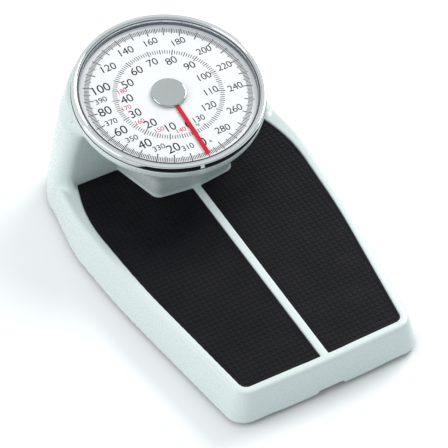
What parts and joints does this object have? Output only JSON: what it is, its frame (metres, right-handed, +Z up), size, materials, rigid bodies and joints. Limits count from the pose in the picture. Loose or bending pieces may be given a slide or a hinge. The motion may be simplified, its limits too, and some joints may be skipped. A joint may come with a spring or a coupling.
{
  "type": "mechanical dial platform scale",
  "caption": "Floor-standing mechanical scale with a ribbed black standing platform, raised round chrome-rimmed dial, red pointer, and a lever, spring, rack and pinion works inside.",
  "frame": {"origin": "on the floor, under the middle of the whole object's box", "axes": "+Z up; the person stands facing +Y, with the dial at the +Y end"},
  "size_m": [0.294, 0.4529, 0.1551],
  "materials": {
    "white_plastic": "moulded, soft gloss",
    "mat_rubber": "ribbed, satin black",
    "chrome": "polished",
    "clear_lens": "clear",
    "gasket_rubber": "matt",
    "chart_face": "printed, matt",
    "plated_steel": "zinc plated",
    "pan_steel": "black enamel",
    "brass": "turned",
    "red_paint": "satin red",
    "spring_steel": "oiled",
    "foot_rubber": "matt",
    "knob_plastic": "knurled"
  },
  "bodies": {
    "base": {"base_pan": "pan_steel", "foot_screws": "plated_steel", "foot_nuts": "plated_steel", "rubber_foot_front_left": "foot_rubber", "rubber_foot_front_right": "foot_rubber", "rubber_foot_rear_left": "foot_rubber", "rubber_foot_rear_right": "foot_rubber", "fulcrum_post_front_left": "plated_steel", "fulcrum_post_front_right": "plated_steel", "fulcrum_post_rear_left": "plated_steel", "fulcrum_post_rear_right": "plated_steel", "crank_bracket": "plated_steel", "crank_pivot_pin": "plated_steel", "dial_mast": "plated_steel", "gear_plate_lower": "plated_steel", "gear_plate_upper": "plated_steel", "gear_pillars": "brass", "shaft_bush_lower": "brass", "shaft_bush_upper": "brass", "rack_guide": "knob_plastic", "spring_tower": "plated_steel"},
    "platform": {"platform_cover": "white_plastic", "mat_left": "mat_rubber", "mat_right": "mat_rubber", "dial_bezel": "chrome", "dial_lens": "clear_lens", "lens_gasket": "gasket_rubber", "dial_chart": "chart_face", "load_plate": "plated_steel", "cover_screws": "plated_steel", "load_hanger_front_left": "plated_steel", "load_hanger_front_right": "plated_steel", "load_hanger_rear_left": "plated_steel", "load_hanger_rear_right": "plated_steel"},
    "long_levers": {"long_lever_left": "plated_steel", "long_lever_pins_left": "plated_steel", "long_lever_right": "plated_steel", "long_lever_pins_right": "plated_steel", "lever_yoke": "plated_steel"},
    "short_lever_left": {"short_lever_left": "plated_steel", "short_lever_pins_left": "plated_steel"},
    "short_lever_right": {"short_lever_right": "plated_steel", "short_lever_pins_right": "plated_steel"},
    "lever_link_left": {"lever_link_left": "plated_steel"},
    "lever_link_right": {"lever_link_right": "plated_steel"},
    "bell_crank": {"bell_crank": "plated_steel", "crank_bush": "brass", "crank_pin": "plated_steel"},
    "rack": {"rack": "brass"},
    "pointer": {"pinion": "brass", "pointer_shaft": "plated_steel", "pointer_boss": "brass", "pointer": "red_paint", "hub_cap": "chrome"},
    "zero_wheel": {"zero_wheel": "knob_plastic", "zero_screw": "plated_steel"},
    "spring_anchor": {"spring_anchor": "plated_steel", "main_spring": "spring_steel"}
  },
  "joints": [
    {"name": "platform_slide", "type": "slide", "parent": "base", "child": "platform", "axis": [0, 0, -1], "range_m": [0, 0.00172], "stiffness_N_per_m": 1030000, "springref_m": -0.00005},
    {"name": "long_lever_tilt", "type": "hinge", "parent": "base", "child": "long_levers", "pos_m": [0, -0.178, 0.019], "axis": [-1, 0, 0], "range_deg": [0, 2.19], "deforming": ["main_spring"]},
    {"name": "short_lever_left_tilt", "type": "hinge", "parent": "base", "child": "short_lever_left", "pos_m": [-0.112, 0.096, 0.019], "axis": [1, 0, 0], "range_deg": [0, 2.19]},
    {"name": "short_lever_right_tilt", "type": "hinge", "parent": "base", "child": "short_lever_right", "pos_m": [0.112, 0.096, 0.019], "axis": [1, 0, 0], "range_deg": [0, 2.19]},
    {"name": "lever_link_left_drop", "type": "slide", "parent": "base", "child": "lever_link_left", "axis": [0, 0, -1], "range_m": [0, 0.00524]},
    {"name": "lever_link_right_drop", "type": "slide", "parent": "base", "child": "lever_link_right", "axis": [0, 0, -1], "range_m": [0, 0.00524]},
    {"name": "bell_crank_turn", "type": "hinge", "parent": "base", "child": "bell_crank", "pos_m": [-0.01275, 0.15764, 0.02891], "axis": [-1, 0, 0], "range_deg": [0, 26.11]},
    {"name": "rack_slide", "type": "slide", "parent": "base", "child": "rack", "axis": [0, 0.9877, 0.1564], "range_m": [0, 0.02615]},
    {"name": "pointer_turn", "type": "hinge", "parent": "base", "child": "pointer", "pos_m": [0, 0.1209, 0.139], "axis": [0, 0.1564, -0.9877], "range_deg": [0, 468.23]},
    {"name": "zero_wheel_turn", "type": "hinge", "parent": "base", "child": "zero_wheel", "pos_m": [0, 0.209, 0], "axis": [0, 0, 1], "range_deg": [-360.18, 360.18]},
    {"name": "spring_anchor_lift", "type": "slide", "parent": "base", "child": "spring_anchor", "axis": [0, 0, 1], "range_m": [-0.001, 0.001]}
  ],
  "couplings": [
    {"joint": "long_lever_tilt", "follows": "platform_slide", "rad_per_m": 22.222},
    {"joint": "short_lever_left_tilt", "follows": "platform_slide", "rad_per_m": 22.222},
    {"joint": "short_lever_right_tilt", "follows": "platform_slide", "rad_per_m": 22.222},
    {"joint": "lever_link_left_drop", "follows": "platform_slide", "ratio": 3.0444},
    {"joint": "lever_link_right_drop", "follows": "platform_slide", "ratio": 3.0444},
    {"joint": "bell_crank_turn", "follows": "platform_slide", "rad_per_m": 264.64},
    {"joint": "rack_slide", "follows": "platform_slide", "ratio": 15.185},
    {"joint": "pointer_turn", "follows": "platform_slide", "rad_per_m": 4745.3},
    {"joint": "zero_wheel_turn", "follows": "spring_anchor_lift", "rad_per_m": 6283.2}
  ]
}
